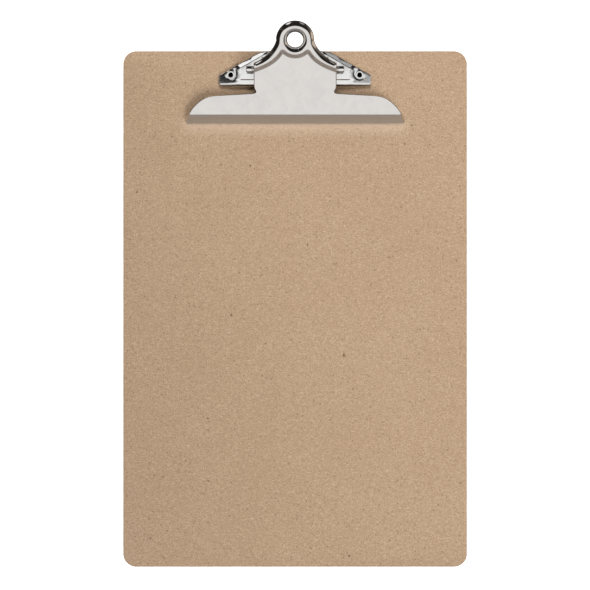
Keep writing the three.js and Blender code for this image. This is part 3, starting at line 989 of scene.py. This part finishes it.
def hardboard_material():
    """Pressed wood fibre: cloudy, with a fine mottle of light and dark fibre bundles, a few dark
    flecks, darker sawn sides, and a painted pool of light just in front of the lip."""
    made, nodes = material("hardboard")
    place = nodes.millimetres()
    clouds = nodes.noise(place, 0.03, 3.0, 0.55)
    patches = nodes.noise(place, 0.16, 3.0, 0.6, 0.4)
    mottle = nodes.noise(place, 1.15, 3.0, 0.66, 0.5)
    grain = nodes.noise(place, 1.9, 2.0, 0.7)

    def fibres(turn, shift, low, high):
        """Short bundles that run one way."""
        moved = nodes.vector("ADD", place, (shift, -shift, 0))["Vector"]
        along = nodes.stretch(moved, (0.6, 1.9, 1.0), turn)
        return nodes.ramp(nodes.noise(along, 1.0, 1.5, 0.6, 0.5), low, high)

    dark = nodes.math("ADD", fibres(0.35, 0.0, 0.60, 0.74), fibres(1.55, 31.0, 0.60, 0.76), True)
    light = nodes.math("ADD", fibres(2.4, 57.0, 0.58, 0.74), fibres(0.9, 83.0, 0.60, 0.76), True)

    warp = nodes.add("ShaderNodeTexNoise", {"Vector": place, "Scale": 1.3}).outputs["Color"]
    warped = nodes.vector("ADD", place, warp)["Vector"]

    def specks(scale, radius, share):
        """Ragged specks in some cells of a grid, fainter in most of them."""
        cells = nodes.add("ShaderNodeTexVoronoi", {"Vector": warped, "Scale": scale}).outputs
        chosen = nodes.add("ShaderNodeSeparateColor", {0: cells["Color"]}).outputs[0]
        near = nodes.ramp(cells["Distance"], radius * scale * 0.4, radius * scale, 1.0, 0.0)
        return nodes.product(near, nodes.ramp(chosen, 1 - share, 1.0))

    flecks = nodes.math("ADD", specks(0.16, 0.7, 0.5), knots(nodes, place), True)
    fine = nodes.math("ADD", specks(0.5, 0.5, 0.7), specks(0.8, 0.38, 0.6), True)

    height = nodes.axes(place)[2]
    off_face = nodes.ramp(height, FACE - 0.2, FACE - 0.02, 1.0, 0.0)
    side = nodes.product(off_face, nodes.ramp(height, 0.02, 0.2))
    layers = nodes.noise(nodes.stretch(place, (0.5, 0.5, 5.0)), 1.0, 4.0, 0.7)
    sawn = nodes.mix(layers, (0.19, 0.105, 0.05), (0.36, 0.22, 0.12))

    tone = nodes.layers(
        (0.475, 0.335, 0.222),
        (nodes.ramp(clouds, 0.3, 0.7), (0.50, 0.358, 0.240)),
        (nodes.ramp(patches, 0.25, 0.75, 0.0, 0.3), (0.54, 0.390, 0.264)),
        (nodes.ramp(mottle, 0.40, 0.66, 0.0, 0.42), (0.345, 0.228, 0.140)),
        (nodes.ramp(mottle, 0.44, 0.28, 0.0, 0.5), (0.66, 0.49, 0.35)),
        (nodes.ramp(grain, 0.42, 0.66, 0.0, 0.75), (0.30, 0.195, 0.12)),
        (nodes.product(light, 0.30), (0.66, 0.50, 0.36)),
        (nodes.product(dark, 0.42), (0.26, 0.165, 0.095)),
        (nodes.product(fine, 0.75), (0.20, 0.13, 0.08)),
        (nodes.product(flecks, 0.75), (0.10, 0.065, 0.04)),
        # painted light: a brighter pool on the face just in front of the lip
        (painted_light_before_lip(nodes, place), (0.72, 0.56, 0.43)),
        (nodes.product(side, 0.85), sawn),
    )
    relief = nodes.math("SUBTRACT", light, nodes.math("ADD", dark, grain))
    relief = nodes.math("ADD", relief, nodes.product(side, layers))
    surface(
        nodes,
        {
            "Base Color": tone,
            "Roughness": nodes.ramp(patches, 0.2, 0.8, 0.62, 0.78),
            "Specular IOR Level": 0.25,
            "Normal": nodes.bump(relief, 0.3, 0.05 * MM),
        },
    )
    return made


def painted_bore_shade(nodes, place):
    """1 inside the rivets' bores, which get painted shade, coloured nearly black, and 0 elsewhere.
    """
    across, along_board, height = nodes.axes(place)
    out = nodes.math("SUBTRACT", nodes.math("ABSOLUTE", across), RIVET_X)
    along = nodes.math("SUBTRACT", along_board, RIVET_Y)
    offset = nodes.add("ShaderNodeCombineXYZ", {0: out, 1: along}).outputs[0]
    seat = FACE + PAD_TOP
    return nodes.product(
        nodes.ramp(nodes.vector("LENGTH", offset)["Value"], 1.12, 1.0),
        nodes.ramp(height, seat + 0.25, seat),
        nodes.ramp(height, 0.0, 0.3),
    )


def plated_material(name, colour, smudge, roughness, worn, wave_scale, wave_strength, wave_depth):
    """Bright plate over pressed steel: faint smudges, uneven gloss, and a slight waviness. Faces
    that slope steeply to the front, where paper slides, are duller by the share worn."""
    made, nodes = material(name)
    place = nodes.millimetres()
    bore_shade = painted_bore_shade(nodes, place)
    facing = nodes.axes(nodes.add("ShaderNodeTexCoord").outputs["Normal"])[1]
    rubbed = nodes.ramp(facing, -0.5, -0.75, 0.0, worn)
    smudges = nodes.noise(place, 0.16, 4.0, 0.65, 0.5)
    specks = nodes.noise(place, 3.5, 2.0, 0.6)
    waves = nodes.noise(place, wave_scale, 1.5, 0.45)
    tone = nodes.layers(
        colour,
        (nodes.ramp(smudges, 0.35, 0.7), smudge),
        (nodes.ramp(specks, 0.66, 0.8, 0.0, 0.25), (0.30, 0.29, 0.28)),
        (rubbed, (0.58, 0.595, 0.615)),
        # painted shade: the rivets' bores coloured nearly black
        (bore_shade, (0.02, 0.018, 0.016)),
    )
    gloss = nodes.ramp(smudges, 0.3, 0.75, roughness, roughness * 1.5)
    gloss = nodes.math("ADD", gloss, nodes.product(bore_shade, 0.5))
    gloss = nodes.math("ADD", gloss, nodes.product(rubbed, 0.3))
    surface(
        nodes,
        {
            "Base Color": tone,
            "Metallic": 1.0,
            "Roughness": gloss,
            "Normal": nodes.bump(waves, wave_strength, wave_depth * MM),
        },
    )
    return made


def wire_material():
    """Drawn spring wire: grey, with fine lines along it and a trace of oil staining."""
    made, nodes = material("spring_steel")
    place = nodes.millimetres()
    stain = nodes.noise(place, 0.8, 3.0, 0.6)
    lines = nodes.noise(nodes.stretch(place, (9.0, 1.2, 1.2)), 1.0, 2.0, 0.5)
    tone = nodes.mix(nodes.ramp(stain, 0.35, 0.7), (0.34, 0.335, 0.33), (0.20, 0.185, 0.165))
    surface(
        nodes,
        {
            "Base Color": tone,
            "Metallic": 1.0,
            "Roughness": nodes.ramp(lines, 0.3, 0.7, 0.28, 0.42),
            "Normal": nodes.bump(lines, 0.3, 0.02 * MM),
        },
    )
    return made


# ---- Assembly ----

BASE_BODY, JAW_BODY = "board_assembly", "jaw"


def install(piece, body, node, finish):
    """Puts a piece in place of a CAD node, and on a body if one is given."""
    piece.data.materials.clear()
    piece.data.materials.append(finish)
    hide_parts(node)
    if body:
        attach(piece, body)


def install_spring(side_name, side, finish):
    """A spring, put in place of its CAD node and left on no body."""
    node = f"spring_{side_name}"
    coil = spring(f"{node}_coil", side)
    install(coil, None, node, finish)
    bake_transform(coil)


nickel = plated_material(
    "nickel_plate",
    colour=(0.72, 0.695, 0.668),
    smudge=(0.675, 0.652, 0.628),
    roughness=0.07,
    worn=1.0,
    wave_scale=0.11,
    wave_strength=0.05,
    wave_depth=0.5,
)
chrome = plated_material(
    "chrome_plate",
    colour=(0.80, 0.80, 0.79),
    smudge=(0.74, 0.74, 0.73),
    roughness=0.06,
    worn=0.0,
    wave_scale=0.35,
    wave_strength=0.22,
    wave_depth=0.3,
)
wire = wire_material()
install(board(), BASE_BODY, "board", hardboard_material())
install(base_plate(), BASE_BODY, "base_plate", chrome)
install(jaw(), JAW_BODY, "clip_jaw", nickel)
install(hinge_pin(), BASE_BODY, "hinge_pin", chrome)
for side_name, side in (("left", -1), ("right", 1)):
    node = f"rivet_{side_name}"
    install(rivet(f"{node}_rolled", side), BASE_BODY, node, chrome)
    install_spring(side_name, side, wire)


# ---- Studio ----


def floor():
    """A plain white floor, under the rivet heads. Metal doesn't mirror it, and from below it's
    clear, so that the board's back can be seen."""
    mesh = bpy.data.meshes.new("floor")
    z = RIVET_LOW[2] * MM
    mesh.from_pydata([(-3, -3, z), (3, -3, z), (3, 3, z), (-3, 3, z)], [], [(0, 1, 2, 3)])
    plane = bpy.data.objects.new("floor", mesh)
    bpy.context.collection.objects.link(plane)
    made, nodes = material("floor_white")
    inputs = {"Base Color": (0.8, 0.8, 0.8, 1), "Roughness": 1.0}
    inputs |= {"Emission Color": (1, 1, 1, 1), "Emission Strength": 0.8}
    white = nodes.add("ShaderNodeBsdfPrincipled", inputs).outputs[0]
    clear = nodes.add("ShaderNodeBsdfTransparent").outputs[0]
    below = nodes.add("ShaderNodeNewGeometry").outputs["Backfacing"]
    either = nodes.add("ShaderNodeMixShader", {0: below, 1: white, 2: clear})
    nodes.add("ShaderNodeOutputMaterial", {"Surface": either.outputs[0]})
    mesh.materials.append(made)
    plane.visible_glossy = False


def area_light(name, place, target, size, power):
    """A soft light that metal doesn't mirror."""
    data = bpy.data.lights.new(name, "AREA")
    data.shape = "DISK"
    data.size = size
    data.energy = power
    lamp = bpy.data.objects.new(name, data)
    lamp.location = place
    aim = Vector(target) - Vector(place)
    lamp.rotation_euler = aim.to_track_quat("-Z", "Y").to_euler()
    lamp.visible_glossy = False
    bpy.context.collection.objects.link(lamp)


def studio_sky():
    """What the metal mirrors: a broad soft panel overhead and in front that fades towards the
    clip end, dim grey low in front, a small bright window behind on the left and a dimmer one on
    the right, a dim glow and a warm patch low on the right, some light from below, and a dark
    room all round. What lights the board is an even dome, and the camera sees white."""
    world = bpy.data.worlds.new("studio")
    bpy.context.scene.world = world
    world.use_nodes = True
    nodes = Nodes(world.node_tree)
    direction = nodes.add("ShaderNodeTexCoord").outputs["Generated"]
    x, y, z = nodes.axes(direction)

    def patch(towards, inner, outer, strength=1.0):
        """A soft round patch in one direction. Its inner and outer radius are in degrees."""
        facing = nodes.vector("DOT_PRODUCT", direction, tuple(Vector(towards).normalized()))
        edge, full = math.cos(math.radians(outer)), math.cos(math.radians(inner))
        return nodes.ramp(facing["Value"], edge, full, 0.0, strength)

    clutter = nodes.ramp(nodes.noise(direction, 3.2, 3.0, 0.6), 0.54, 0.74, 0.0, 0.2)
    front = nodes.product(nodes.ramp(y, -0.3, -0.75), nodes.ramp(z, -0.15, 0.1))
    ground = nodes.product(nodes.ramp(z, -0.3, -0.65), nodes.ramp(y, 0.65, 0.25, 0.3, 1.0))
    right = nodes.product(nodes.ramp(x, 0.55, 0.8), nodes.ramp(z, 0.40, 0.15))
    room = nodes.layers(
        (0.020, 0.018, 0.016),
        (clutter, (1.0, 0.86, 0.74)),
        (front, (0.42, 0.375, 0.34)),
        (ground, (0.30, 0.27, 0.24)),
        (right, (0.17, 0.145, 0.125)),
        (patch((1.0, 0.08, -0.05), 10, 18), (0.75, 0.62, 0.50)),
    )
    panel = nodes.product(nodes.ramp(z, 0.42, 0.60), nodes.ramp(y, 0.46, 0.04))
    left_window = patch((-0.45, 0.85, 0.30), 8, 12, 1.15)
    right_window = patch((0.45, 0.85, 0.30), 7, 12, 0.45)
    light = nodes.math("MAXIMUM", panel, nodes.math("ADD", left_window, right_window))
    mirrored = nodes.mix(1.0, room, nodes.grey(light), "LIGHTEN")

    path = nodes.add("ShaderNodeLightPath").outputs
    after_diffuse = nodes.math("GREATER_THAN", path["Diffuse Depth"], 0.5)
    dome = nodes.grey(nodes.ramp(y, -1.0, 1.0, 0.03, 0.07))
    white = (1.0, 1.0, 1.0)
    shown = nodes.layers(mirrored, (after_diffuse, dome), (path["Is Camera Ray"], white))
    background = nodes.add("ShaderNodeBackground", {"Color": shown, "Strength": 1.0})
    nodes.add("ShaderNodeOutputWorld", {"Surface": background.outputs[0]})
    # Sampling the world as a lamp would light the board with what only the metal should see.
    world.cycles.sampling_method = "NONE"


def camera():
    """Straight above the board, a little towards the clip end."""
    distance, frame_width, sensor = 1100.0, 261.4, 36.0
    data = bpy.data.cameras.new("camera")
    data.sensor_width = sensor
    data.lens = sensor * distance / frame_width
    data.clip_start, data.clip_end = 0.01, 10.0
    eye = bpy.data.objects.new("camera", data)
    eye.location = Vector((-0.07, 6.2, FACE + distance)) * MM
    bpy.context.collection.objects.link(eye)
    bpy.context.scene.camera = eye


floor()
area_light("key", (0.77, -0.67, 1.56), (0, 0.05, 0), 1.15, 29.0)
area_light("rear", (0.0, 0.90, 1.0), (0, 0.05, 0), 0.4, 11.8)
studio_sky()
camera()
bpy.context.scene.view_settings.view_transform = "Standard"
